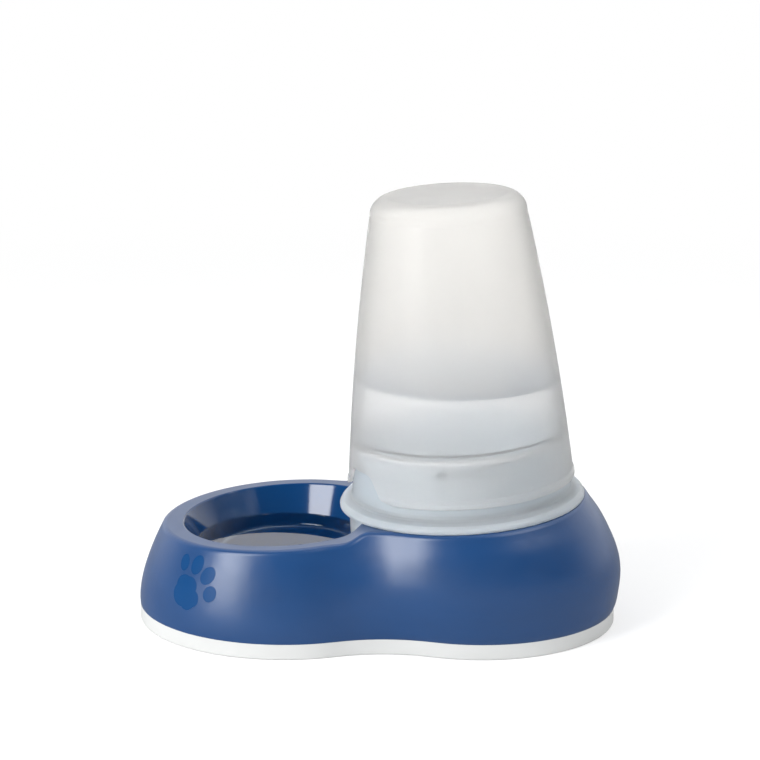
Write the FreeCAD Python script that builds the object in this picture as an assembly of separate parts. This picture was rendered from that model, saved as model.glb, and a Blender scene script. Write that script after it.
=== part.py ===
import FreeCAD, Part
import math
import os

Vector = FreeCAD.Vector

# Frame: millimetres, +Z up, origin on the floor under the middle of the part.
# The bowl is towards -X and the tank towards +X. The moulded top, the collar and
# the tank share a second frame, turned about the Y axis so that the top falls
# towards the bowl. In that frame u is the length, and w the height.

# Overall stance
tilt_deg = 3.1

# Foot of the base, plan shape of two joined lobes
band_height = 9.5
bowl_foot_x = -57.44
tank_foot_x = 60.36
bowl_foot_radius = 91.3
tank_foot_radius = 85.0
waist_foot_radius = 85.0
foot_width_share = 0.915

# Wall of the base, from the foot up to the seat plane
seat_plane = 73.6
bowl_top_radius = 71.5
tank_bulge_radius = 91.8
tank_bulge_share = 0.4
bowl_lean_power = 1.55
tank_lean_power = 1.6
width_power = 2.0
waist_top_radius = 60.0
top_edge_round = 3.6
shell_wall = 2.6

# Bowl
bowl_u = -54.54
rim_plane = 67.4
bowl_rim_radius = 63.2
basin_floor = 33.0
basin_floor_radius = 46.0
basin_corner_round = 9.0
rim_step_start = -17.2
rim_step_end = 3.8
rim_inner_round = 0.8

# Well under the tank
tank_u = 54.86
well_floor = 30.0
skirt_radius = 69.5
skirt_gap = 0.8
pin_radius = 2.2
pin_rib_reach = 5.5
pin_rib_height = 9.0
pin_rib_thickness = 1.6

# Foot rebate and band
band_skin = 3.3
band_ledge = 9.0
band_ledge_height = 1.8
band_gap = 0.05
rebate_depth = 5.8
foot_shelf = 2.5

# Collar
flange_radius = 75.0
flange_gap = 0.3
flange_edge = 1.3
flange_rise = 5.4
shoulder_radius = 67.0
upstand_top = 112.0
upstand_top_radius = 64.8
upstand_wall = 3.4
collar_floor = 79.4
collar_floor_thickness = 2.4
skirt_bottom = 44.0
skirt_wall = 2.0
crown_width = 4.4
crown_thickness = 1.6

# Spout and valve
spout_radius = 18.5
spout_wall = 2.0
spout_bottom = 46.5
spout_seat_thickness = 2.2
seat_hole_radius = 7.0
valve_lift = 5.0
stem_radius = 2.5
stem_below_seal = 8.7
stem_top = 84.5
seal_radius = 11.6
seal_thickness = 2.5
stem_disc_radius = 10.6
stem_disc_thickness = 1.6
pin_clearance = 0.3
bridge_seat = 76.2
bridge_thickness = 2.8
bridge_hub_radius = 5.6
bridge_arm_width = 3.0
bridge_ring_width = 2.6
stem_fit = 0.08
spring_radius = 6.4
spring_wire = 1.1
spring_turns = 5
spring_end_turn = 1
spring_end_gap = 0.5

# Tank
tank_bottom = 87.3
tank_bottom_radius = 69.0
tank_top_radius = 47.2
tank_top = 263.0
tank_corner_round = 11.1
tank_barrel = 2.1
tank_wall = 1.6
tank_bead = 0.5
tank_bead_height = 4.0
arch_angle_deg = -151.0
arch_height = 15.0
arch_half_width = 17.0
arch_power = 6
gasket_thickness = 2.4
gasket_gap = 0.3
ledge_thickness = 2.2
ledge_foot = 3.0
ledge_inner_radius = 60.4

# Bayonet lock between the tank and the collar
lock_turn_deg = 30.0
lug_count = 3
lug_first_deg = 20.0
lug_width_deg = 6.0
lug_height = 3.6
lug_plane = 104.6
lug_depth = 1.6
slot_gap = 0.5
slot_depth_gap = 0.4

# Paw print inlay
paw_angle_deg = -129.0
paw_backing = 1.3
paw_gap = 0.05
paw_top_gap = 0.4
paw_backing_half = 21.0
paw_prism_start = 68.0
paw_prism_length = 30.0


def rad(deg):
    return deg * math.pi / 180.0


def tilted(shape):
    """Turn a solid from the (u, y, w) frame into the part's frame."""
    out = shape.copy()
    out.rotate(Vector(0, 0, 0), Vector(0, 1, 0), -tilt_deg)
    return out


def lean(foot, bulge, top, peak, power, share):
    """Radius of a lobe at a share of the wall's height."""
    if share < peak:
        return bulge - (bulge - foot) * ((peak - share) / peak) ** 2
    return bulge - (bulge - top) * ((share - peak) / (1.0 - peak)) ** power


def arc_points(cx, cy, radius, start, end, count):
    pts = []
    for i in range(count):
        a = start + (end - start) * i / float(count)
        pts.append((cx + radius * math.cos(a), cy + radius * math.sin(a)))
    return pts


def outline(share, inset):
    """Plan points of the base at a share of its wall height, moved in by inset."""
    turn = rad(tilt_deg)
    top_bowl_x = bowl_u * math.cos(turn) - seat_plane * math.sin(turn)
    top_tank_x = tank_u * math.cos(turn) - seat_plane * math.sin(turn)
    ax = bowl_foot_x + (top_bowl_x - bowl_foot_x) * share
    bx = tank_foot_x + (top_tank_x - tank_foot_x) * share
    top_b = flange_radius + 1.4
    ra = lean(bowl_foot_radius, bowl_foot_radius, bowl_top_radius, 0.08, bowl_lean_power, share)
    rb = lean(tank_foot_radius, tank_bulge_radius, top_b, tank_bulge_share, tank_lean_power, share)
    rw = waist_foot_radius + (waist_top_radius - waist_foot_radius) * share
    width = foot_width_share + (1.0 - foot_width_share) * share ** width_power
    ra = ra - inset
    rb = rb - inset
    rw = rw + inset
    span = bx - ax
    p = ra + rw
    q = rb + rw
    along = (p * p - q * q + span * span) / (2.0 * span)
    across = math.sqrt(p * p - along * along)
    ta = math.atan2(across, along)
    tb = math.atan2(across, along - span)
    wx = ax + along
    pts = arc_points(ax, 0.0, ra, math.pi, 2.0 * math.pi - ta, 14)
    pts += arc_points(wx, -across, rw, math.pi - ta, math.pi - tb, 10)
    pts += arc_points(bx, 0.0, rb, -tb, tb, 28)
    pts += arc_points(wx, across, rw, tb - math.pi, ta - math.pi, 10)
    pts += arc_points(ax, 0.0, ra, ta, math.pi, 14)
    return [(x, y * width) for x, y in pts]


def closed_wire(points):
    curve = Part.BSplineCurve()
    curve.interpolate(Points=points, PeriodicFlag=True)
    return Part.Wire([curve.toShape()])


def section(share, inset):
    """Closed section of the wall, lying in a plane that leans with the top."""
    turn = rad(tilt_deg)
    top_z = seat_plane / math.cos(turn)
    z0 = band_height + (top_z - band_height) * share
    slope = math.tan(turn * share)
    return closed_wire([Vector(x, y, z0 + x * slope) for x, y in outline(share, inset)])


def foot_prism(inset, low, high):
    wire = closed_wire([Vector(x, y, low) for x, y in outline(0.0, inset)])
    return Part.Face(wire).extrude(Vector(0, 0, high - low))


def wall_body(inset):
    shares = [0.0, 0.13, 0.26, 0.4, 0.54, 0.68, 0.84, 1.0]
    return Part.makeLoft([section(s, inset) for s in shares], True, False)


def above_top(drop):
    """Everything over the top skin: low at the bowl's rim and high at the well's."""
    low = rim_plane - drop
    high = seat_plane - drop
    mid = (rim_step_start + rim_step_end) / 2.0
    step = Part.BezierCurve()
    step.setPoles([Vector(rim_step_start, -150, low), Vector(mid, -150, low),
                   Vector(mid, -150, high), Vector(rim_step_end, -150, high)])
    corners = [Vector(rim_step_end, -150, high), Vector(220, -150, high), Vector(220, -150, 160),
               Vector(-220, -150, 160), Vector(-220, -150, low), Vector(rim_step_start, -150, low)]
    edges = [step.toShape()]
    for a, b in zip(corners[:-1], corners[1:]):
        edges.append(Part.LineSegment(a, b).toShape())
    face = Part.Face(Part.Wire(Part.__sortEdges__(edges)))
    return tilted(face.extrude(Vector(0, 300, 0)))


def revolved(points, u):
    """Solid of revolution about the upright axis of the top frame at u."""
    pts = [Vector(u + r, 0, w) for r, w in points]
    pts.append(pts[0])
    face = Part.Face(Part.makePolygon(pts))
    return tilted(face.revolve(Vector(u, 0, 0), Vector(0, 0, 1), 360))


def basin_tool(thickness):
    """Inside of the bowl, or its outer skin when a thickness is given."""
    floor = basin_floor - thickness
    low_r = basin_floor_radius + thickness * 0.6
    rim_r = bowl_rim_radius + thickness
    edge = rim_inner_round
    pts = [(0, floor), (low_r, floor), (rim_r - edge * 0.7, rim_plane - edge), (rim_r, rim_plane - edge * 0.3),
           (rim_r + edge * 0.7, rim_plane), (rim_r + edge * 0.7, 120.0), (0, 120.0)]
    body = revolved(pts, bowl_u)
    edges = []
    for e in body.Edges:
        if isinstance(e.Curve, Part.Circle) and abs(e.Curve.Radius - low_r) < 0.01:
            edges.append(e)
    return body.makeFillet(basin_corner_round + thickness, edges)


def well_tool(thickness):
    r = skirt_radius + skirt_gap + thickness
    floor = well_floor - thickness
    return revolved([(0, floor), (r, floor), (r, 120.0), (0, 120.0)], tank_u)


def top_outer_edges(solid):
    """Edges where the top skin meets the outer wall."""
    turn = rad(tilt_deg)
    found = []
    for e in solid.Edges:
        ps = e.discretize(5)
        heights = [-p.x * math.sin(turn) + p.z * math.cos(turn) for p in ps]
        spread = max(p.x for p in ps) - min(p.x for p in ps)
        if min(heights) > rim_plane - 0.5 and spread > 1.0:
            found.append(e)
    return found


def paw_shapes(grow):
    """Discs of the paw print as prisms through the wall, before they are trimmed."""
    toes = [(-8.6, 50.6, -4.0, 4.9, 3.6), (1.8, 51.2, -20.0, 6.0, 4.3),
            (10.8, 46.4, -36.0, 5.9, 4.5), (14.0, 36.2, -20.0, 5.0, 4.3)]
    out = []
    for s, h, turn, long_half, wide_half in toes:
        ell = Part.Ellipse(Vector(0, 0, 0), long_half + grow, wide_half + grow)
        face = Part.Face(Part.Wire([ell.toShape()]))
        face.rotate(Vector(0, 0, 0), Vector(0, 0, 1), 90.0 + turn)
        face.translate(Vector(s, h, 0))
        out.append(face.extrude(Vector(0, 0, paw_prism_length)))
    pad = None
    for s, h, r in [(-5.6, 37.8, 6.4), (-1.4, 38.2, 5.6), (-6.2, 32.6, 7.4), (1.4, 31.4, 5.4), (-1.8, 29.8, 6.0)]:
        disc = Part.makeCylinder(r + grow, paw_prism_length, Vector(s, h, 0))
        pad = disc if pad is None else pad.fuse(disc)
    out.append(pad.removeSplitter())
    return [place_on_wall(x) for x in out]


def place_on_wall(shape):
    """Move a prism from (across, up, out) axes to the paw's place on the bowl wall."""
    a = rad(paw_angle_deg)
    out = Vector(math.cos(a), math.sin(a), 0)
    across = Vector(-math.sin(a), math.cos(a), 0)
    up = Vector(0, 0, 1)
    start = paw_prism_start
    m = FreeCAD.Matrix(across.x, up.x, out.x, bowl_foot_x + start * out.x,
                       across.y, up.y, out.y, start * out.y,
                       across.z, up.z, out.z, 0,
                       0, 0, 0, 1)
    placed = shape.copy()
    placed.transformShape(m)
    return placed


def paw_backing_prism():
    low = Part.makeBox(2 * paw_backing_half, 2 * paw_backing_half, paw_prism_length,
                       Vector(-paw_backing_half + 1.0, 39.5 - paw_backing_half, 0))
    corners = [e for e in low.Edges if abs(e.BoundBox.ZLength - paw_prism_length) < 0.01]
    return place_on_wall(low.makeFillet(8.0, corners))


def make_base(outer, inner):
    """Moulded base: outer wall, rim, basin, well, foot rib and valve pin."""
    body = outer.cut(above_top(0.0))
    body = body.makeFillet(top_edge_round, top_outer_edges(body))
    body = body.fuse(foot_prism(band_skin + band_gap, band_ledge_height + band_gap, band_height + 0.5))
    over_shelf = Part.makeBox(500, 500, 500, Vector(-250, -250, band_height + foot_shelf))
    hollow = inner.common(over_shelf).cut(above_top(shell_wall))
    hollow = hollow.fuse(foot_prism(rebate_depth, -1.0, band_height + foot_shelf + 0.4))
    hollow = hollow.cut(basin_tool(shell_wall)).cut(well_tool(shell_wall))
    body = body.cut(hollow).cut(basin_tool(0.0)).cut(well_tool(0.0))
    for prism in paw_shapes(paw_gap):
        body = body.cut(prism)
    return body.fuse(make_pin()).removeSplitter()


def make_pin():
    """Post on the floor of the well that holds the valve open."""
    top = seal_plane() - stem_below_seal - pin_clearance
    post = revolved([(0, well_floor - 1.0), (pin_radius, well_floor - 1.0), (pin_radius, top), (0, top)], tank_u)
    for i in range(3):
        rib = Part.makeBox(pin_rib_reach, pin_rib_thickness, pin_rib_height + 1.0,
                           Vector(0, -pin_rib_thickness / 2.0, well_floor - 1.0))
        rib.rotate(Vector(0, 0, 0), Vector(0, 0, 1), 60 + 120 * i)
        rib.translate(Vector(tank_u, 0, 0))
        post = post.fuse(tilted(rib))
    return post


def make_band():
    """Soft ring clipped round the foot, on which the part stands."""
    ring = foot_prism(0.0, 0.0, band_height)
    bottom = [e for e in ring.Edges if e.BoundBox.ZMax < 0.01]
    ring = ring.makeFillet(0.8, bottom)
    ring = ring.cut(foot_prism(band_skin, band_ledge_height, band_height + 1.0))
    return ring.cut(foot_prism(band_ledge, -1.0, band_ledge_height + 1.0))


def make_paw(outer):
    """Paw print pads, joined behind the wall by one thin backing."""
    front = wall_body(shell_wall + paw_gap)
    back = wall_body(shell_wall + paw_gap + paw_backing)
    paw = paw_backing_prism().common(front).cut(back).cut(above_top(shell_wall + paw_top_gap))
    for prism in paw_shapes(0.0):
        paw = paw.fuse(prism.common(outer).cut(back))
    return paw.removeSplitter()


def seal_plane():
    """Underside of the seal while the pin holds the valve open."""
    return spout_bottom + spout_seat_thickness + valve_lift


def make_collar():
    """Saucer-shaped closure of the tank with skirt, upstand and spout."""
    low = seat_plane + flange_gap
    lip_mid_r = (flange_radius + shoulder_radius) / 2.0 + 1.6
    top_edge = low + flange_edge
    shoulder_low = low + flange_rise + 0.5
    inner_skirt = skirt_radius - skirt_wall
    skin = upstand_wall
    pts = [(flange_radius, low), (flange_radius + 0.0, top_edge), (flange_radius - 0.9, top_edge + 1.6),
           (lip_mid_r, low + flange_rise - 1.0), (shoulder_radius + 1.2, shoulder_low - 0.2),
           (shoulder_radius + 0.2, shoulder_low + 0.9), (shoulder_radius - 0.2, shoulder_low + 3.0),
           (upstand_top_radius, upstand_top), (upstand_top_radius - crown_width, upstand_top),
           (upstand_top_radius - crown_width, upstand_top - crown_thickness),
           (upstand_top_radius - skin, upstand_top - crown_thickness),
           (shoulder_radius - 0.2 - skin, collar_floor + collar_floor_thickness),
           (spout_radius - spout_wall, collar_floor + collar_floor_thickness),
           (spout_radius - spout_wall, spout_bottom + spout_seat_thickness),
           (seat_hole_radius, spout_bottom + spout_seat_thickness), (seat_hole_radius, spout_bottom),
           (spout_radius, spout_bottom), (spout_radius, collar_floor), (inner_skirt, collar_floor),
           (inner_skirt, skirt_bottom), (skirt_radius, skirt_bottom), (skirt_radius, low + 2.6),
           (flange_radius - 2.4, low + 1.6), (flange_radius - 1.8, low)]
    body = revolved(pts, tank_u)
    for i in range(lug_count):
        body = body.cut(slot_tool(i))
    return body


def sector(inner, outer, low, high, start_deg, end_deg):
    """Ring sector about the tank axis, between two radii and two heights."""
    face = Part.Face(Part.makePolygon([Vector(inner, 0, low), Vector(outer, 0, low), Vector(outer, 0, high),
                                       Vector(inner, 0, high), Vector(inner, 0, low)]))
    face.rotate(Vector(0, 0, 0), Vector(0, 0, 1), start_deg)
    body = face.revolve(Vector(0, 0, 0), Vector(0, 0, 1), end_deg - start_deg)
    body.translate(Vector(tank_u, 0, 0))
    return tilted(body)


def lug_start(i):
    return lug_first_deg + 360.0 * i / lug_count


def slot_gap_deg():
    return slot_gap / upstand_top_radius * 180.0 / math.pi


def slot_tool(i):
    """L-shaped blind groove in the upstand: along the turn, then up and out."""
    inner = upstand_top_radius - lug_depth - slot_depth_gap
    start = lug_start(i) - slot_gap_deg()
    end = lug_start(i) + lug_width_deg + lock_turn_deg + slot_gap_deg()
    run = sector(inner, 70.0, lug_plane - slot_gap, lug_plane + lug_height + slot_gap, start, end)
    out_start = end - lug_width_deg - 2.0 * slot_gap_deg()
    return run.fuse(sector(inner, 70.0, lug_plane, upstand_top + 1.0, out_start, end))


def tank_radius(w):
    """Outer radius of the tank's side at a height, bulging a little like a barrel."""
    side_top = tank_top - tank_corner_round
    t = (w - tank_bottom) / (side_top - tank_bottom)
    return tank_bottom_radius + (tank_top_radius - tank_bottom_radius) * t + tank_barrel * 4.0 * t * (1.0 - t)


def tank_profile(wall, low):
    """Face between the tank axis and its side, moved in by a wall thickness."""
    side_top = tank_top - tank_corner_round
    mid = (low + side_top) / 2.0
    bottom_r = tank_radius(low) - wall
    mid_r = tank_radius(mid) - wall
    corner = tank_corner_round - wall
    top_r = tank_top_radius - wall
    bend = math.sin(math.pi / 4.0)
    bottom = Vector(bottom_r, 0, low)
    shoulder = Vector(top_r, 0, side_top)
    top = Vector(top_r - corner, 0, side_top + corner)
    side = Part.Arc(bottom, Vector(mid_r, 0, mid), shoulder).toShape()
    turn = Part.Arc(shoulder, Vector(top_r - corner + corner * bend, 0, side_top + corner * bend), top).toShape()
    crown = Part.LineSegment(top, Vector(0, 0, top.z)).toShape()
    axis = Part.LineSegment(Vector(0, 0, top.z), Vector(0, 0, low)).toShape()
    base = Part.LineSegment(Vector(0, 0, low), bottom).toShape()
    return Part.Face(Part.Wire([side, turn, crown, axis, base]))


def tank_solid(wall, low):
    body = tank_profile(wall, low).revolve(Vector(0, 0, 0), Vector(0, 0, 1), 360)
    body.translate(Vector(tank_u, 0, 0))
    return tilted(body)


def arch_tool():
    """Bell-shaped notch in the tank's lower edge."""
    reach = 31.0
    pts = []
    for i in range(25):
        s = -reach + 2.0 * reach * i / 24.0
        pts.append(Vector(0, s, tank_bottom + arch_height / (1.0 + abs(s / arch_half_width) ** arch_power)))
    curve = Part.BSplineCurve()
    curve.interpolate(Points=pts)
    low = tank_bottom - 3.0
    a = Vector(0, reach, low)
    b = Vector(0, -reach, low)
    edges = [curve.toShape(), Part.LineSegment(pts[-1], a).toShape(), Part.LineSegment(a, b).toShape(),
             Part.LineSegment(b, pts[0]).toShape()]
    body = Part.Face(Part.Wire(edges)).extrude(Vector(90, 0, 0))
    body.rotate(Vector(0, 0, 0), Vector(0, 0, 1), arch_angle_deg)
    body.translate(Vector(tank_u, 0, 0))
    return tilted(body)


def make_tank():
    """Upturned tank: thin barrel wall, closed top, inner ledge, lugs and arch."""
    outer = tank_solid(0.0, tank_bottom)
    r = tank_bottom_radius
    bead = revolved([(r - 0.6, tank_bottom), (r + tank_bead * 0.5, tank_bottom),
                     (r + tank_bead, tank_bottom + 0.6),
                     (r + tank_bead, tank_bottom + tank_bead_height - 1.0),
                     (r - 0.6, tank_bottom + tank_bead_height + 1.5)], tank_u)
    inner = tank_solid(tank_wall, tank_bottom - 1.0)
    body = outer.fuse(bead).cut(inner)
    low = upstand_top + gasket_thickness + gasket_gap
    high = low + ledge_thickness + ledge_foot
    half_wall = tank_wall / 2.0
    body = body.fuse(revolved([(ledge_inner_radius, low), (tank_radius(low) - half_wall, low),
                               (tank_radius(high) - half_wall, high),
                               (ledge_inner_radius, low + ledge_thickness)], tank_u))
    side = tank_radius(lug_plane) - 0.6
    for i in range(lug_count):
        body = body.fuse(sector(upstand_top_radius - lug_depth, side, lug_plane, lug_plane + lug_height,
                                lug_start(i), lug_start(i) + lug_width_deg))
    return body.cut(arch_tool()).removeSplitter()


def make_gasket():
    """Flat ring on the collar's crown, under the tank's ledge."""
    inner = upstand_top_radius - crown_width
    outer = upstand_top_radius - lug_depth - slot_depth_gap - 0.2
    return revolved([(inner, upstand_top), (outer, upstand_top), (outer, upstand_top + gasket_thickness),
                     (inner, upstand_top + gasket_thickness)], tank_u)


def make_bridge():
    """Three-armed guide pressed into the top of the spout."""
    outer = spout_radius - spout_wall
    low = bridge_seat
    high = bridge_seat + bridge_thickness
    body = revolved([(outer - bridge_ring_width, low), (outer, low), (outer, high),
                     (outer - bridge_ring_width, high)], tank_u)
    hole = stem_radius + stem_fit
    for i in range(3):
        arm = Part.makeBox(outer - hole - 1.8, bridge_arm_width, bridge_thickness,
                           Vector(hole + 0.8, -bridge_arm_width / 2.0, low))
        arm.rotate(Vector(0, 0, 0), Vector(0, 0, 1), 120 * i)
        arm.translate(Vector(tank_u, 0, 0))
        body = body.fuse(tilted(arm))
    hub = revolved([(hole, low), (bridge_hub_radius, low), (bridge_hub_radius, high), (hole, high)], tank_u)
    return body.fuse(hub).removeSplitter()


def make_stem():
    """Rod with a disc: it slides in the bridge and carries the seal."""
    low = seal_plane() - stem_below_seal
    disc = seal_plane() + seal_thickness
    top = stem_top
    pts = [(0, low), (stem_radius - 0.5, low), (stem_radius, low + 0.5), (stem_radius, disc),
           (stem_disc_radius, disc), (stem_disc_radius, disc + stem_disc_thickness),
           (stem_radius, disc + stem_disc_thickness), (stem_radius, top - 0.5), (stem_radius - 0.5, top), (0, top)]
    return revolved(pts, tank_u)


def make_seal():
    """Rubber washer under the stem's disc."""
    low = seal_plane()
    high = low + seal_thickness
    return revolved([(stem_radius, low), (seal_radius - 0.5, low), (seal_radius, low + 0.5), (seal_radius, high),
                     (stem_radius, high)], tank_u)


def helix_point(turn, low, high):
    """Centre line of the spring, with one nearly flat turn at each end."""
    flat = spring_wire + spring_end_gap
    free = high - low - 2.0 * flat * spring_end_turn
    middle = spring_turns - 2.0 * spring_end_turn
    if turn < spring_end_turn:
        w = low + flat * turn
        rise = flat
    elif turn > spring_turns - spring_end_turn:
        w = high - flat * (spring_turns - turn)
        rise = flat
    else:
        w = low + flat * spring_end_turn + free * (turn - spring_end_turn) / middle
        rise = free / middle
    a = 2.0 * math.pi * turn
    at = Vector(spring_radius * math.cos(a), spring_radius * math.sin(a), w)
    way = Vector(-spring_radius * math.sin(a), spring_radius * math.cos(a), rise / (2.0 * math.pi))
    way.normalize()
    return at, way


def tangent_arc(start, corner, end):
    """Arc from start to end whose end tangents meet at the corner."""
    half = (end - start) * 0.5
    mid = start + half
    reach = (corner - start).Length
    cosine = half.Length / reach
    apex = mid + (corner - mid) * (cosine / (1.0 + cosine))
    return Part.Arc(start, apex, end).toShape()


def biarc(p0, t0, p1, t1):
    """Two arcs that leave p0 along t0, arrive at p1 along t1, and join smoothly."""
    v = p1 - p0
    s = t0 + t1
    a = 2.0 * (1.0 - t0.dot(t1))
    b = v.dot(s)
    c = v.dot(v)
    d = (-b + math.sqrt(b * b + a * c)) / a
    q0 = p0 + t0 * d
    q1 = p1 - t1 * d
    joint = (q0 + q1) * 0.5
    return [tangent_arc(p0, q0, joint), tangent_arc(joint, q1, p1)]


def spring_gap(low, high):
    """Least space between one turn's wire and the next, on points of the centre line."""
    per_turn = 36
    pts = [helix_point(i / float(per_turn), low, high)[0] for i in range(int(spring_turns * per_turn) + 1)]
    least = 1000.0
    for i in range(len(pts)):
        for j in range(i + per_turn // 2, len(pts)):
            least = min(least, (pts[i] - pts[j]).Length - spring_wire)
    return least


def make_spring():
    """Coil spring between the stem's disc and the bridge."""
    low = seal_plane() + seal_thickness + stem_disc_thickness + spring_wire / 2.0 + 0.05
    high = bridge_seat - spring_wire / 2.0 - 0.05
    print("least gap in the spring", round(spring_gap(low, high), 2))
    edges = []
    steps = int(spring_turns * 4)
    last = helix_point(0.0, low, high)
    for i in range(1, steps + 1):
        now = helix_point(i / 4.0, low, high)
        edges += biarc(last[0], last[1], now[0], now[1])
        last = now
    path = Part.Wire(edges)
    start, way = helix_point(0.0, low, high)
    ring = Part.Wire([Part.Circle(start, way, spring_wire / 2.0).toShape()])
    coil = path.makePipeShell([ring], True, False)
    coil.translate(Vector(tank_u, 0, 0))
    return tilted(coil)


def save(name, shape):
    solids = shape.Solids
    if len(solids) == 1:
        shape = solids[0]
    print(name, "solids", len(solids), "valid", shape.isValid(), "volume", round(shape.Volume, 1))
    shape.exportStep("parts/" + name + ".step")


os.makedirs("parts", exist_ok=True)
outer_wall = wall_body(0.0)
inner_wall = wall_body(shell_wall)
save("base_shell", make_base(outer_wall, inner_wall))
save("nonslip_band", make_band())
save("paw_inlay", make_paw(outer_wall))
save("collar", make_collar())
save("tank", make_tank())
save("collar_gasket", make_gasket())
save("valve_bridge", make_bridge())
save("valve_stem", make_stem())
save("valve_seal", make_seal())
save("valve_spring", make_spring())
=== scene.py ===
import math
import bmesh
import bpy
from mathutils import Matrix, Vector


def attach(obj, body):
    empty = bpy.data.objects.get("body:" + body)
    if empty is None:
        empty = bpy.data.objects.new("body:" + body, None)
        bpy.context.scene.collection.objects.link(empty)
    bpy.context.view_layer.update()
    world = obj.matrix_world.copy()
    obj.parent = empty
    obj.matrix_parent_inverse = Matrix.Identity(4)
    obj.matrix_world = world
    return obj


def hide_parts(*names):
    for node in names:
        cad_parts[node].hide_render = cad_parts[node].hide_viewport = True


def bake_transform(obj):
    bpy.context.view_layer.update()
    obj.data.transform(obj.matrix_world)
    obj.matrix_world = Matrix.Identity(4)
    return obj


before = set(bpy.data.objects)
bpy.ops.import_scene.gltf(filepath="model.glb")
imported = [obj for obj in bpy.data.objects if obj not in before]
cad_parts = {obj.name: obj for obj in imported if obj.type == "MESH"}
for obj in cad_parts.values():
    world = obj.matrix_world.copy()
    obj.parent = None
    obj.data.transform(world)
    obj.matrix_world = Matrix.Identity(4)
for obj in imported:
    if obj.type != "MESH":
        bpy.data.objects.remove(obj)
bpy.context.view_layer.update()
MM = 0.001

# Frame of the moulded top, the collar and the tank, which fall towards the bowl
TILT = math.radians(3.1)
BOWL_U = -54.54
TANK_U = 54.86

# Camera: height, place and direction worked out from the photograph
CAMERA_PLACE = (77.26, -1468.1, 537.8)
CAMERA_PITCH_DEG = 14.764
CAMERA_HEADING_DEG = 3.0
CAMERA_LENS = 118.42

# Studio
FLOOR_GLOW = 0.3
FADE_START = 0.45
FADE_END = 1.3
AMBIENT = 0.65
BACKLIGHT = 0.88
FLOOR_BACKLIGHT = 1.6
GLOSS_BACKDROP = 1.25
FRONT_ROOM = 0.06
FLOOR_DIM = 0.8

# Water
WATER_WETS = 0.4
SKIRT_GAP = 0.1
BOWL_WATER_LEVEL = 47.3
TANK_WATER_LEVEL = 154.6
# painted light: the tank wall is drawn pure white below the water line, blended over this height
WATERLINE_LIGHT_BLEND = 3.0
# painted shade on the tank's water surface deepens between these distances from the tank's axis
WATER_SHADE_START = 30.0
WATER_SHADE_END = 62.0

# Inside of the bowl
BOWL_RIM_RADIUS = 63.2
BASIN_FLOOR = 33.0
BASIN_FLOOR_RADIUS = 46.0
BASIN_TOP = 66.6
BASIN_TOP_RADIUS = 62.64
BASIN_CORNER = 9.0
SKIRT_RADIUS = 69.5

# Inside of the collar and the tank
CUP_FLOOR = 81.8
CUP_TOP = 110.4
CUP_FLOOR_RADIUS = 63.4
CUP_TOP_RADIUS = 61.4
THROAT_RADIUS = 60.4
THROAT_TOP = 120.0
TANK_BOTTOM = 87.3
TANK_SIDE_TOP = 251.9
TANK_BOTTOM_RADIUS = 69.0
TANK_TOP_RADIUS = 47.2
TANK_BARREL = 2.1
TANK_WALL = 1.6
STEM_CLEAR_TOP = 85.2
STEM_CLEAR_RADIUS = 4.5

# Spring of the valve
SPRING_RADIUS = 6.4
SPRING_WIRE = 1.1
SPRING_LOW = 58.4
SPRING_HIGH = 75.6
SPRING_TURNS = 5
SPRING_END_GAP = 0.5


def leaning(u, y, w):
    """Point of the leaning frame, in mm, as a point of the row frame in metres."""
    return Vector((u * math.cos(TILT) - w * math.sin(TILT), y, u * math.sin(TILT) + w * math.cos(TILT))) * MM


def tank_inside(w):
    """Inner radius of the tank at a height above the floor of the leaning frame."""
    t = (w - TANK_BOTTOM) / (TANK_SIDE_TOP - TANK_BOTTOM)
    outer = TANK_BOTTOM_RADIUS + (TANK_TOP_RADIUS - TANK_BOTTOM_RADIUS) * t + TANK_BARREL * 4.0 * t * (1.0 - t)
    return outer - TANK_WALL


def add_object(name, mesh, body, smooth=True):
    obj = bpy.data.objects.new(name, mesh)
    bpy.context.scene.collection.objects.link(obj)
    for face in mesh.polygons:
        face.use_smooth = smooth
    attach(obj, body)
    return obj


# Camera

def make_camera():
    data = bpy.data.cameras.new("photo_camera")
    data.lens = CAMERA_LENS
    data.sensor_width = 36.0
    data.clip_start = 0.05
    data.clip_end = 60.0
    cam = bpy.data.objects.new("photo_camera", data)
    cam.location = Vector(CAMERA_PLACE) * MM
    cam.rotation_euler = (math.radians(90.0 - CAMERA_PITCH_DEG), 0.0, math.radians(CAMERA_HEADING_DEG))
    bpy.context.scene.collection.objects.link(cam)
    bpy.context.scene.camera = cam


# Materials

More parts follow.
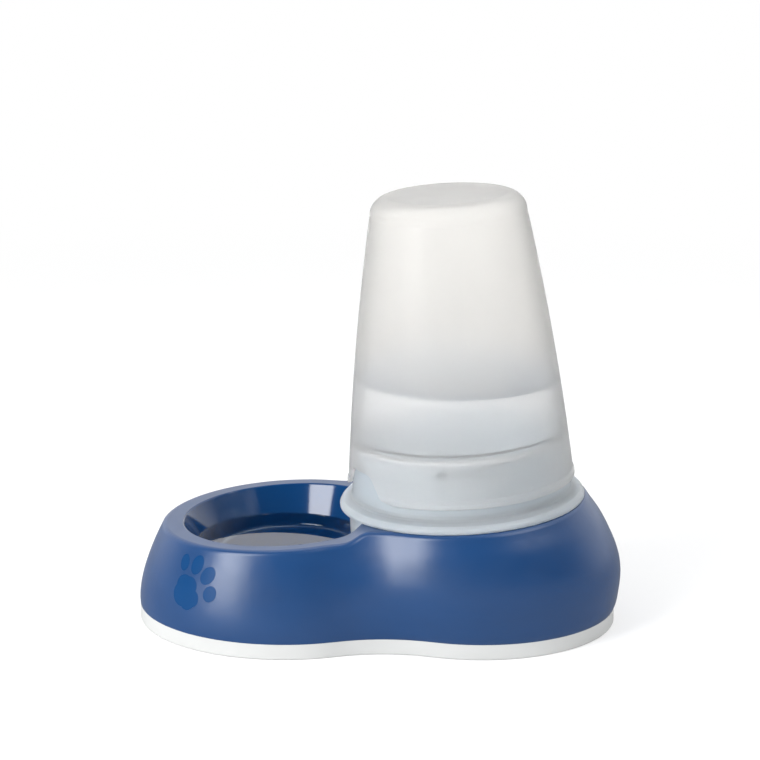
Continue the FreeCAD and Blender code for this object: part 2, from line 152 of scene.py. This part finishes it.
class Nodes:
    """A material's node tree with short calls for the nodes used here."""

    def __init__(self, name):
        self.material = bpy.data.materials.new(name)
        self.material.use_nodes = True
        self.tree = self.material.node_tree
        self.shader = self.tree.nodes["Principled BSDF"]
        self.output = self.tree.nodes["Material Output"]
        self.coords = self.tree.nodes.new("ShaderNodeTexCoord")

    def link(self, a, b):
        self.tree.links.new(a, b)

    def noise(self, scale, detail=3.0, roughness=0.5, stretch=(1.0, 1.0, 1.0)):
        place = self.tree.nodes.new("ShaderNodeMapping")
        place.inputs["Scale"].default_value = stretch
        self.link(self.coords.outputs["Object"], place.inputs["Vector"])
        node = self.tree.nodes.new("ShaderNodeTexNoise")
        node.inputs["Scale"].default_value = scale
        node.inputs["Detail"].default_value = detail
        node.inputs["Roughness"].default_value = roughness
        self.link(place.outputs["Vector"], node.inputs["Vector"])
        return node.outputs["Fac"]

    def span(self, value, low, high):
        node = self.tree.nodes.new("ShaderNodeMapRange")
        node.inputs["From Min"].default_value = 0.3
        node.inputs["From Max"].default_value = 0.7
        node.inputs["To Min"].default_value = low
        node.inputs["To Max"].default_value = high
        self.link(value, node.inputs["Value"])
        return node.outputs["Result"]

    def two_tones(self, value, dark, light):
        node = self.tree.nodes.new("ShaderNodeMix")
        node.data_type = "RGBA"
        node.inputs["A"].default_value = (*dark, 1.0)
        node.inputs["B"].default_value = (*light, 1.0)
        self.link(self.span(value, 0.0, 1.0), node.inputs["Factor"])
        return node.outputs["Result"]

    def sum(self, operation, a, b, c=0.0):
        """Math node on sockets or numbers."""
        node = self.tree.nodes.new("ShaderNodeMath")
        node.operation = operation
        for socket, value in zip(node.inputs, (a, b, c)):
            if isinstance(value, float):
                socket.default_value = value
            else:
                self.link(value, socket)
        return node.outputs["Value"]

    def bump(self, value, strength, distance):
        node = self.tree.nodes.new("ShaderNodeBump")
        node.inputs["Strength"].default_value = strength
        node.inputs["Distance"].default_value = distance
        self.link(value, node.inputs["Height"])
        self.link(node.outputs["Normal"], self.shader.inputs["Normal"])

    def set(self, **values):
        for name, value in values.items():
            self.shader.inputs[name.replace("_", " ")].default_value = value


def rgb(r, g, b):
    """Linear colour of an sRGB colour given in 0 to 255."""
    out = []
    for v in (r, g, b):
        c = v / 255.0
        out.append(c / 12.92 if c <= 0.04045 else ((c + 0.055) / 1.055) ** 2.4)
    return tuple(out)


def moulded(name, dark, light, rough_low, rough_high, grain, grain_depth):
    """Moulded plastic: faint flow in its colour, uneven gloss and a fine grain."""
    n = Nodes(name)
    flow = n.noise(14.0, 4.0, 0.55, (1.0, 1.0, 2.2))
    n.link(n.two_tones(flow, dark, light), n.shader.inputs["Base Color"])
    n.link(n.span(n.noise(60.0, 3.0), rough_low, rough_high), n.shader.inputs["Roughness"])
    n.bump(n.noise(grain, 3.0, 0.6), 0.25, grain_depth)
    return n


def reach_from(n, middle_u):
    """Distance from an upright axis of the leaning frame."""
    split = n.tree.nodes.new("ShaderNodeSeparateXYZ")
    n.link(n.coords.outputs["Object"], split.inputs["Vector"])
    u = n.sum("MULTIPLY_ADD", split.outputs["X"], math.cos(TILT), -middle_u * MM)
    u = n.sum("MULTIPLY_ADD", split.outputs["Z"], math.sin(TILT), u)
    return n.sum("SQRT", n.sum("ADD", n.sum("MULTIPLY", u, u),
                               n.sum("MULTIPLY", split.outputs["Y"], split.outputs["Y"])), 0.0)


def inside_bowl(n):
    """1 within the polished inside of the bowl, 0 on the satin rest of the base."""
    return n.sum("LESS_THAN", reach_from(n, BOWL_U), (BOWL_RIM_RADIUS + 0.3) * MM)


def base_material():
    n = Nodes("satin_blue")
    flow = n.noise(14.0, 4.0, 0.55, (1.0, 1.0, 2.2))
    n.link(n.two_tones(flow, rgb(5, 52, 98), rgb(9, 57, 105)), n.shader.inputs["Base Color"])
    satin = n.span(n.noise(60.0, 3.0), 0.3, 0.35)
    polish = inside_bowl(n)
    gloss = n.sum("MULTIPLY_ADD", n.sum("SUBTRACT", 0.1, satin), polish, satin)
    n.link(gloss, n.shader.inputs["Roughness"])
    grain = n.sum("MULTIPLY", n.noise(1500.0, 3.0, 0.6), n.sum("SUBTRACT", 1.0, polish))
    n.bump(grain, 0.25, 0.00005)
    n.set(IOR=1.58)
    return n.material


def paw_material():
    n = moulded("glossy_blue", rgb(5, 54, 100), rgb(8, 59, 106), 0.3, 0.36, 500.0, 0.00001)
    n.set(IOR=1.25)
    return n.material


def band_material():
    n = moulded("soft_grey_white", rgb(182, 183, 182), rgb(190, 191, 190), 0.5, 0.6, 1800.0, 0.00008)
    return n.material


def milky(name, dark, light, clear, rough, ior):
    """Milky polypropylene that lets blurred light through."""
    n = moulded(name, dark, light, rough - 0.03, rough + 0.03, 700.0, 0.00002)
    n.set(IOR=ior, Transmission_Weight=clear, Subsurface_Weight=1.0, Subsurface_Scale=0.004)
    n.shader.inputs["Subsurface Radius"].default_value = (1.0, 1.0, 1.0)
    n.set(Coat_Weight=0.06, Coat_Roughness=0.2, Coat_IOR=1.5)
    return n


def tank_material():
    """Milky wall with painted light: drawn pure white below the water line, for the light the water behind it lets
    through, and in its own milky colour above.
    """
    n = milky("milky_tank", rgb(236, 235, 233), rgb(239, 238, 236), 0.88, 0.52, 1.2)
    wall_colour = n.shader.inputs["Base Color"].links[0].from_socket
    split = n.tree.nodes.new("ShaderNodeSeparateXYZ")
    n.link(n.coords.outputs["Object"], split.inputs["Vector"])
    above = n.tree.nodes.new("ShaderNodeMapRange")
    above.interpolation_type = "SMOOTHSTEP"
    above.inputs["From Min"].default_value = (TANK_WATER_LEVEL - WATERLINE_LIGHT_BLEND) * MM
    above.inputs["From Max"].default_value = (TANK_WATER_LEVEL + WATERLINE_LIGHT_BLEND) * MM
    n.link(split.outputs["Z"], above.inputs["Value"])
    # painted light: pure white below the water line, the wall's own milky colour above
    mix = n.tree.nodes.new("ShaderNodeMix")
    mix.data_type = "RGBA"
    mix.inputs["A"].default_value = (1.0, 1.0, 1.0, 1.0)
    n.link(wall_colour, mix.inputs["B"])
    n.link(above.outputs["Result"], mix.inputs["Factor"])
    n.link(mix.outputs["Result"], n.shader.inputs["Base Color"])
    return n.material


def rubber_material():
    return moulded("pale_rubber", rgb(222, 225, 228), rgb(232, 235, 237), 0.55, 0.65, 1500.0, 0.00005).material


def seal_material():
    return moulded("dark_rubber", rgb(52, 54, 58), rgb(66, 68, 72), 0.5, 0.62, 1500.0, 0.00005).material


def fitting_material():
    return moulded("white_fitting", rgb(206, 209, 214), rgb(220, 223, 228), 0.35, 0.45, 900.0, 0.00004).material


def steel_material():
    n = moulded("spring_steel", rgb(150, 152, 156), rgb(178, 180, 184), 0.22, 0.32, 2200.0, 0.00003)
    n.set(Metallic=1.0)
    return n.material


def water_material(name, dark, light, ior):
    n = Nodes(name)
    n.link(n.two_tones(n.noise(9.0, 2.0), dark, light), n.shader.inputs["Base Color"])
    n.set(Roughness=0.02, IOR=ior, Transmission_Weight=1.0)
    n.bump(n.noise(22.0, 1.0), 0.08, 0.0006)
    return n.material


def water_top_material():
    """Surface of the tank's water with painted shade: from above, half of it is a bluish grey diffuse sheet that
    darkens towards the wall, where the water climbs it; from below it is clear.
    """
    n = Nodes("tank_water_top")
    edge = n.tree.nodes.new("ShaderNodeMapRange")
    edge.interpolation_type = "SMOOTHSTEP"
    edge.inputs["From Min"].default_value = WATER_SHADE_START * MM
    edge.inputs["From Max"].default_value = WATER_SHADE_END * MM
    n.link(reach_from(n, TANK_U), edge.inputs["Value"])
    # painted shade: bluish grey tint, darker towards the wall
    mix = n.tree.nodes.new("ShaderNodeMix")
    mix.data_type = "RGBA"
    mix.inputs["A"].default_value = (*rgb(214, 221, 230), 1.0)
    mix.inputs["B"].default_value = (*rgb(180, 194, 214), 1.0)
    n.link(edge.outputs["Result"], mix.inputs["Factor"])
    side = n.tree.nodes.new("ShaderNodeNewGeometry")
    under = n.tree.nodes.new("ShaderNodeMix")
    under.data_type = "RGBA"
    under.inputs["B"].default_value = (1.0, 1.0, 1.0, 1.0)
    n.link(side.outputs["Backfacing"], under.inputs["Factor"])
    n.link(mix.outputs["Result"], under.inputs["A"])
    n.link(under.outputs["Result"], n.shader.inputs["Base Color"])
    # painted shade: the top face is half diffuse so that the tint shows; the underside is fully clear
    n.link(n.sum("MAXIMUM", side.outputs["Backfacing"], 0.5), n.shader.inputs["Transmission Weight"])
    n.set(Roughness=0.15, IOR=1.33)
    n.bump(n.noise(22.0, 1.0), 0.08, 0.0006)
    return n.material


def dress(node, material):
    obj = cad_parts[node]
    obj.data.materials.clear()
    obj.data.materials.append(material)


# Water in the bowl

def basin_radius(w):
    """Radius of the bowl at a height, with the round between its floor and its wall."""
    lean = math.atan2(BASIN_TOP_RADIUS - BASIN_FLOOR_RADIUS, BASIN_TOP - BASIN_FLOOR)
    reach = BASIN_CORNER * math.tan(math.pi / 4.0 - lean / 2.0)
    if w > BASIN_FLOOR + reach * math.cos(lean):
        return BASIN_FLOOR_RADIUS + (w - BASIN_FLOOR) * math.tan(lean)
    drop = min(BASIN_CORNER, BASIN_FLOOR + BASIN_CORNER - w)
    return BASIN_FLOOR_RADIUS - reach + math.sqrt(BASIN_CORNER ** 2 - drop ** 2)


def in_bowl(p):
    """True where a point of the row frame, in mm, is in the bowl, up to just within its wall."""
    u = p.x * math.cos(TILT) + p.z * math.sin(TILT)
    w = -p.x * math.sin(TILT) + p.z * math.cos(TILT)
    if math.hypot(u - BOWL_U, p.y) > basin_radius(w) + WATER_WETS:
        return False
    return math.hypot(u - TANK_U, p.y) > SKIRT_RADIUS + SKIRT_GAP


def bowl_water_point(angle, depth, share):
    """Point on a sheet between the level surface (depth 0) and the floor (depth 1)."""
    middle = BOWL_U * math.cos(TILT) - 0.5 * (BASIN_FLOOR + BOWL_WATER_LEVEL) * math.sin(TILT)

    def at(reach):
        x = middle + reach * math.cos(angle)
        floor = (BASIN_FLOOR - WATER_WETS) / math.cos(TILT) + x * math.tan(TILT)
        return Vector((x, reach * math.sin(angle), BOWL_WATER_LEVEL + (floor - BOWL_WATER_LEVEL) * depth))

    near = 0.0
    far = 70.0
    for _ in range(22):
        mid = (near + far) / 2.0
        if in_bowl(at(mid)):
            near = mid
        else:
            far = mid
    return at(near * share)


def make_bowl_water():
    around = 128
    bm = bmesh.new()
    rings = []
    sheets = [(0.0, s) for s in (0.2, 0.4, 0.6, 0.8, 0.94, 1.0)]
    sheets += [(d, 1.0) for d in (0.05, 0.25, 0.5, 0.75, 0.9, 1.0)]
    sheets += [(1.0, s) for s in (0.7, 0.35)]
    for depth, share in sheets:
        ring = []
        for i in range(around):
            p = bowl_water_point(2.0 * math.pi * i / around, depth, share)
            ring.append(bm.verts.new(p * MM))
        rings.append(ring)
    for a, b in zip(rings[:-1], rings[1:]):
        for i in range(around):
            j = (i + 1) % around
            bm.faces.new((a[i], b[i], b[j], a[j]))
    bm.faces.new(rings[0])
    bm.faces.new(list(reversed(rings[-1])))
    bmesh.ops.recalc_face_normals(bm, faces=bm.faces)
    mesh = bpy.data.meshes.new("bowl_water")
    bm.to_mesh(mesh)
    bm.free()
    obj = add_object("bowl_water", mesh, "base")
    mesh.materials.append(water_material("bowl_water", rgb(226, 240, 250), rgb(232, 244, 252), 1.42))
    return obj


# Water in the tank and the collar

def water_profile():
    pts = [(0.0, STEM_CLEAR_TOP), (STEM_CLEAR_RADIUS, STEM_CLEAR_TOP), (STEM_CLEAR_RADIUS, CUP_FLOOR - WATER_WETS),
           (CUP_FLOOR_RADIUS + WATER_WETS, CUP_FLOOR - WATER_WETS),
           (CUP_TOP_RADIUS + WATER_WETS, CUP_TOP + WATER_WETS),
           (THROAT_RADIUS + WATER_WETS, CUP_TOP + WATER_WETS),
           (THROAT_RADIUS + WATER_WETS, THROAT_TOP - 4.4)]
    w = THROAT_TOP
    while w < TANK_WATER_LEVEL + 12.0:
        pts.append((tank_inside(w) + WATER_WETS, w))
        w += 5.0
    pts.append((0.0, w))
    return pts


def make_tank_water():
    around = 128
    bm = bmesh.new()
    rings = []
    for r, w in water_profile():
        if r == 0.0:
            rings.append([bm.verts.new(leaning(TANK_U, 0.0, w))] * around)
            continue
        ring = []
        for i in range(around):
            a = 2.0 * math.pi * i / around
            ring.append(bm.verts.new(leaning(TANK_U + r * math.cos(a), r * math.sin(a), w)))
        rings.append(ring)
    for a, b in zip(rings[:-1], rings[1:]):
        for i in range(around):
            j = (i + 1) % around
            corners = []
            for v in (a[i], b[i], b[j], a[j]):
                if v not in corners:
                    corners.append(v)
            bm.faces.new(corners)
    level = Vector((0.0, 0.0, TANK_WATER_LEVEL * MM))
    everything = bm.verts[:] + bm.edges[:] + bm.faces[:]
    cut = bmesh.ops.bisect_plane(bm, geom=everything, plane_co=level, plane_no=(0, 0, 1), clear_outer=True)
    rim = [g for g in cut["geom_cut"] if isinstance(g, bmesh.types.BMEdge)]
    bmesh.ops.contextual_create(bm, geom=rim)
    bmesh.ops.recalc_face_normals(bm, faces=bm.faces)
    mesh = bpy.data.meshes.new("tank_water")
    bm.to_mesh(mesh)
    bm.free()
    obj = add_object("tank_water", mesh, "collar")
    for face in mesh.polygons:
        face.use_smooth = abs(face.normal.z) < 0.9
        face.material_index = 1 if face.normal.z > 0.9 and face.center.z > (TANK_WATER_LEVEL - 1.0) * MM else 0
    mesh.materials.append(water_material("tank_water", rgb(253, 254, 255), rgb(255, 255, 255), 1.02))
    mesh.materials.append(water_top_material())
    return obj


# Spring of the valve, which stretches between the bridge and the stem's disc

def spring_line(turn):
    flat = SPRING_WIRE + SPRING_END_GAP
    rest = SPRING_HIGH - SPRING_LOW - 2.0 * flat
    if turn < 1.0:
        w = SPRING_LOW + flat * turn
    elif turn > SPRING_TURNS - 1.0:
        w = SPRING_HIGH - flat * (SPRING_TURNS - turn)
    else:
        w = SPRING_LOW + flat + rest * (turn - 1.0) / (SPRING_TURNS - 2.0)
    a = 2.0 * math.pi * turn
    return leaning(TANK_U + SPRING_RADIUS * math.cos(a), SPRING_RADIUS * math.sin(a), w)


def make_spring():
    per_turn = 36
    around = 12
    bm = bmesh.new()
    rings = []
    up = (leaning(0, 0, 1) - leaning(0, 0, 0)).normalized()
    count = SPRING_TURNS * per_turn
    for i in range(count + 1):
        here = spring_line(i / per_turn)
        way = (spring_line(min(i + 1, count) / per_turn) - spring_line(max(i - 1, 0) / per_turn)).normalized()
        side = way.cross(up).normalized()
        over = side.cross(way)
        ring = []
        for k in range(around):
            a = 2.0 * math.pi * k / around
            ring.append(bm.verts.new(here + (side * math.cos(a) + over * math.sin(a)) * SPRING_WIRE * 0.5 * MM))
        rings.append(ring)
    for a, b in zip(rings[:-1], rings[1:]):
        for k in range(around):
            j = (k + 1) % around
            bm.faces.new((a[k], a[j], b[j], b[k]))
    bm.faces.new(rings[0])
    bm.faces.new(list(reversed(rings[-1])))
    bmesh.ops.recalc_face_normals(bm, faces=bm.faces)
    mesh = bpy.data.meshes.new("valve_coil")
    bm.to_mesh(mesh)
    bm.free()
    obj = bpy.data.objects.new("valve_coil", mesh)
    bpy.context.scene.collection.objects.link(obj)
    for face in mesh.polygons:
        face.use_smooth = True
    mesh.materials.append(steel_material())
    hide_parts("valve_spring")
    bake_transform(obj)
    return obj


# Floor, lamps and world

def clear_rays(tree):
    """1 for rays from the camera, gloss and clear plastic."""
    path = tree.nodes.new("ShaderNodeLightPath")
    last = path.outputs["Is Camera Ray"]
    for kind in ("Is Glossy Ray", "Is Transmission Ray"):
        add = tree.nodes.new("ShaderNodeMath")
        add.operation = "MAXIMUM"
        tree.links.new(last, add.inputs[0])
        tree.links.new(path.outputs[kind], add.inputs[1])
        last = add.outputs[0]
    return last


def make_floor():
    around = 96
    bm = bmesh.new()
    rings = []
    for r in (0.4, 1.2, 4.0, 14.0):
        ring = []
        for i in range(around):
            a = 2.0 * math.pi * i / around
            ring.append(bm.verts.new((r * math.cos(a), r * math.sin(a), -0.0002)))
        rings.append(ring)
    bm.faces.new(rings[0])
    for a, b in zip(rings[:-1], rings[1:]):
        for i in range(around):
            j = (i + 1) % around
            bm.faces.new((a[i], b[i], b[j], a[j]))
    mesh = bpy.data.meshes.new("studio_floor")
    bm.to_mesh(mesh)
    bm.free()
    obj = bpy.data.objects.new("studio_floor", mesh)
    bpy.context.scene.collection.objects.link(obj)
    mesh.materials.append(floor_material())


def floor_material():
    """Pale floor that takes the shadow near the object and fades to the white backdrop; near the object it also
    carries painted shade that shows only in reflections.
    """
    n = Nodes("studio_floor")
    n.link(n.two_tones(n.noise(5.0), (0.93, 0.93, 0.93), (0.95, 0.95, 0.95)), n.shader.inputs["Base Color"])
    n.set(Roughness=0.9, Specular_IOR_Level=0.0)
    length = n.tree.nodes.new("ShaderNodeVectorMath")
    length.operation = "LENGTH"
    n.link(n.coords.outputs["Object"], length.inputs[0])
    fade = n.tree.nodes.new("ShaderNodeMapRange")
    fade.interpolation_type = "SMOOTHSTEP"
    fade.inputs["From Min"].default_value = FADE_START
    fade.inputs["From Max"].default_value = FADE_END
    fade.inputs["To Min"].default_value = FLOOR_GLOW
    fade.inputs["To Max"].default_value = 1.0
    n.link(length.outputs["Value"], fade.inputs["Value"])
    glow = n.tree.nodes.new("ShaderNodeEmission")
    glow.inputs["Color"].default_value = (1.0, 1.0, 1.0, 1.0)
    mix = n.tree.nodes.new("ShaderNodeMixShader")
    path = n.tree.nodes.new("ShaderNodeLightPath")
    n.link(n.sum("MULTIPLY_ADD", path.outputs["Is Transmission Ray"], FLOOR_BACKLIGHT - 1.0, 1.0), glow.inputs["Strength"])
    seen = n.sum("MULTIPLY", clear_rays(n.tree), fade.outputs["Result"])
    n.link(n.sum("MAXIMUM", seen, path.outputs["Is Transmission Ray"]), mix.inputs["Fac"])
    n.link(n.shader.outputs["BSDF"], mix.inputs[1])
    n.link(glow.outputs["Emission"], mix.inputs[2])
    dim = n.tree.nodes.new("ShaderNodeMixShader")
    dark = n.tree.nodes.new("ShaderNodeEmission")
    dark.inputs["Strength"].default_value = 0.0
    # painted shade: in reflections the floor near the object is drawn darker
    near = n.sum("MULTIPLY", n.sum("SUBTRACT", 1.0, fade.outputs["Result"]), FLOOR_DIM)
    n.link(n.sum("MULTIPLY", near, path.outputs["Is Glossy Ray"]), dim.inputs["Fac"])
    n.link(mix.outputs["Shader"], dim.inputs[1])
    n.link(dark.outputs["Emission"], dim.inputs[2])
    n.link(dim.outputs["Shader"], n.output.inputs["Surface"])
    return n.material


def make_lamp(name, place, target, size, energy, colour=(1.0, 1.0, 1.0)):
    data = bpy.data.lights.new(name, "AREA")
    data.shape = "RECTANGLE"
    data.size = size[0]
    data.size_y = size[1]
    data.energy = energy
    data.color = colour
    lamp = bpy.data.objects.new(name, data)
    lamp.location = place
    lamp.rotation_euler = (Vector(target) - Vector(place)).to_track_quat("-Z", "Y").to_euler()
    bpy.context.scene.collection.objects.link(lamp)


def make_world():
    """White backdrop behind the object and a dim room in front of it."""
    world = bpy.data.worlds.new("studio")
    bpy.context.scene.world = world
    world.use_nodes = True
    tree = world.node_tree
    tree.nodes.clear()
    ambient = tree.nodes.new("ShaderNodeBackground")
    ambient.inputs["Color"].default_value = (0.98, 0.99, 1.0, 1.0)
    ambient.inputs["Strength"].default_value = AMBIENT
    coords = tree.nodes.new("ShaderNodeTexCoord")
    split = tree.nodes.new("ShaderNodeSeparateXYZ")
    tree.links.new(coords.outputs["Generated"], split.inputs["Vector"])
    behind = tree.nodes.new("ShaderNodeMapRange")
    behind.interpolation_type = "SMOOTHSTEP"
    behind.inputs["From Min"].default_value = -0.15
    behind.inputs["From Max"].default_value = 0.55
    behind.inputs["To Min"].default_value = FRONT_ROOM
    behind.inputs["To Max"].default_value = GLOSS_BACKDROP
    tree.links.new(split.outputs["Y"], behind.inputs["Value"])
    path = tree.nodes.new("ShaderNodeLightPath")
    through = tree.nodes.new("ShaderNodeMix")
    through.data_type = "FLOAT"
    through.inputs["A"].default_value = 1.0
    through.inputs["B"].default_value = BACKLIGHT
    tree.links.new(path.outputs["Is Transmission Ray"], through.inputs["Factor"])
    gloss = tree.nodes.new("ShaderNodeMix")
    gloss.data_type = "FLOAT"
    tree.links.new(through.outputs["Result"], gloss.inputs["A"])
    tree.links.new(path.outputs["Is Glossy Ray"], gloss.inputs["Factor"])
    tree.links.new(behind.outputs["Result"], gloss.inputs["B"])
    seen = tree.nodes.new("ShaderNodeBackground")
    seen.inputs["Color"].default_value = (1.0, 1.0, 1.0, 1.0)
    tree.links.new(gloss.outputs["Result"], seen.inputs["Strength"])
    mix = tree.nodes.new("ShaderNodeMixShader")
    out = tree.nodes.new("ShaderNodeOutputWorld")
    tree.links.new(clear_rays(tree), mix.inputs["Fac"])
    tree.links.new(ambient.outputs["Background"], mix.inputs[1])
    tree.links.new(seen.outputs["Background"], mix.inputs[2])
    tree.links.new(mix.outputs["Shader"], out.inputs["Surface"])


def make_lamps():
    target = (0.0, 0.0, 0.08)
    make_lamp("left_softbox", (-1.172, -1.132, 0.76), target, (0.8, 1.5), 37.0)
    make_lamp("overhead_softbox", (0.1, 0.45, 1.9), target, (1.2, 1.2), 6.0)
    make_lamp("right_panel", (1.15, -0.5, 1.45), target, (1.3, 1.2), 14.0)


make_camera()
blue = base_material()
dress("base_shell", blue)
dress("nonslip_band", band_material())
dress("paw_inlay", paw_material())
dress("tank", tank_material())
# painted light: the collar's colour is tinted blue for the blue base seen through it
dress("collar", milky("milky_collar", rgb(230, 238, 244), rgb(235, 242, 248), 0.72, 0.45, 1.2).material)
dress("collar_gasket", rubber_material())
dress("valve_bridge", fitting_material())
dress("valve_stem", fitting_material())
dress("valve_seal", seal_material())
make_bowl_water()
make_tank_water()
make_spring()
make_floor()
make_world()
make_lamps()
bpy.context.scene.view_settings.view_transform = "Standard"
